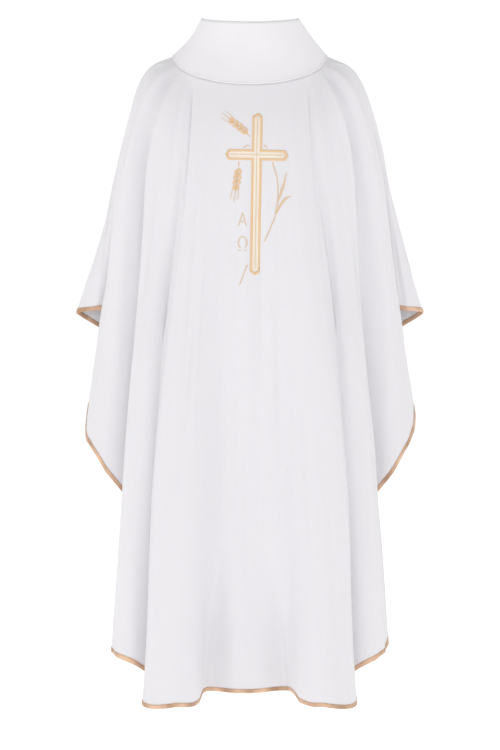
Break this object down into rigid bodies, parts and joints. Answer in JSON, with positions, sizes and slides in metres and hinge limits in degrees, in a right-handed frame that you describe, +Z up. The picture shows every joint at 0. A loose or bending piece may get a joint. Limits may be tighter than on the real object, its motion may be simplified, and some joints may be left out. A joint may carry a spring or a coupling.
{
  "type": "chasuble",
  "caption": "White priest's chasuble with a funnel collar, gold satin bound edges and a gold embroidered cross with wheat, shaped as worn.",
  "frame": {"origin": "on the centre line, level with the sides of the neck seam, midway between the front and back of the shoulders", "axes": "+X to the garment's left side as worn, seen on the right from the front; the front faces -Y; +Z up"},
  "size_m": [0.6742, 0.475, 1.3248],
  "materials": {
    "white_cloth": "fine plain weave, soft sheen",
    "gold_satin": "satin",
    "gold_thread": "satin stitch",
    "cream_thread": "satin stitch",
    "interfacing": "matt felt"
  },
  "bodies": {
    "root": {"front_panel": "white_cloth", "back_panel": "white_cloth", "shoulder_seam_left": "white_cloth", "shoulder_seam_right": "white_cloth", "neck_facing": "white_cloth", "collar_outer": "white_cloth", "collar_inner": "white_cloth", "collar_interfacing": "interfacing", "hem_binding_front": "gold_satin", "hem_binding_back": "gold_satin", "cross_border": "gold_thread", "cross_fill": "cream_thread", "cross_centre_line": "gold_thread", "wheat_ear_upper": "gold_thread", "wheat_ear_lower": "gold_thread", "stem_ear_upper": "gold_thread", "stem_ear_lower": "gold_thread", "stem_arc_left": "gold_thread", "stem_arc_right": "gold_thread", "stalk_right": "gold_thread", "stalk_foot": "gold_thread", "leaf_upper": "gold_thread", "leaf_lower": "gold_thread", "letter_alpha": "gold_thread", "letter_omega": "gold_thread"}
  },
  "joints": []
}
